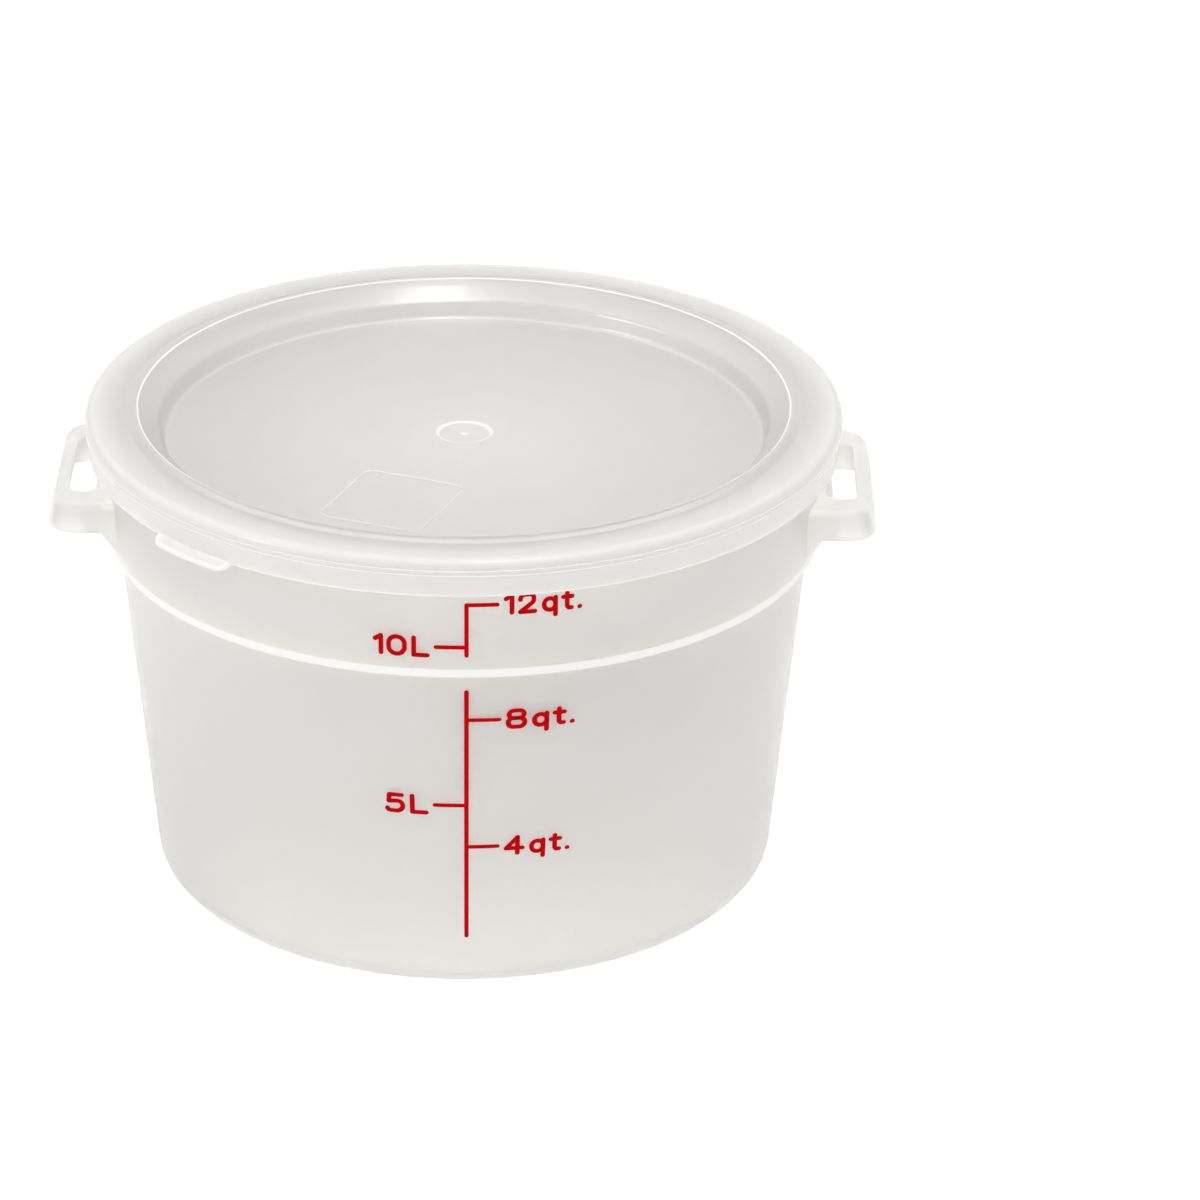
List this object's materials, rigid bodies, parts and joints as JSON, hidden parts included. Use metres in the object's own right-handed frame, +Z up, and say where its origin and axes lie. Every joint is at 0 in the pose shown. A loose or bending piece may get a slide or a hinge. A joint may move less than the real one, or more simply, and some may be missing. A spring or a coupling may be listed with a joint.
{
  "type": "food storage container",
  "caption": "Round translucent plastic food storage container: a tapering tub with loop handles and a printed volume scale, and a press-on lid with a pull tab that lifts off.",
  "frame": {"origin": "on the bench, under the tub's axis", "axes": "+Z up the tub's axis, X through the two handles, the printed scale near -Y"},
  "size_m": [0.351, 0.322, 0.211],
  "materials": {
    "tub_plastic": "frosted translucent polypropylene",
    "lid_plastic": "satin translucent polypropylene",
    "scale_ink": "screen-printed ink"
  },
  "bodies": {
    "tub_body": {"tub": "tub_plastic", "scale_upper": "scale_ink", "scale_lower": "scale_ink"},
    "lid_body": {"lid": "lid_plastic"}
  },
  "joints": [
    {"name": "lid_lift", "type": "slide", "parent": "tub_body", "child": "lid_body", "axis": [0, 0, 1], "range_m": [0, 0.12]}
  ]
}
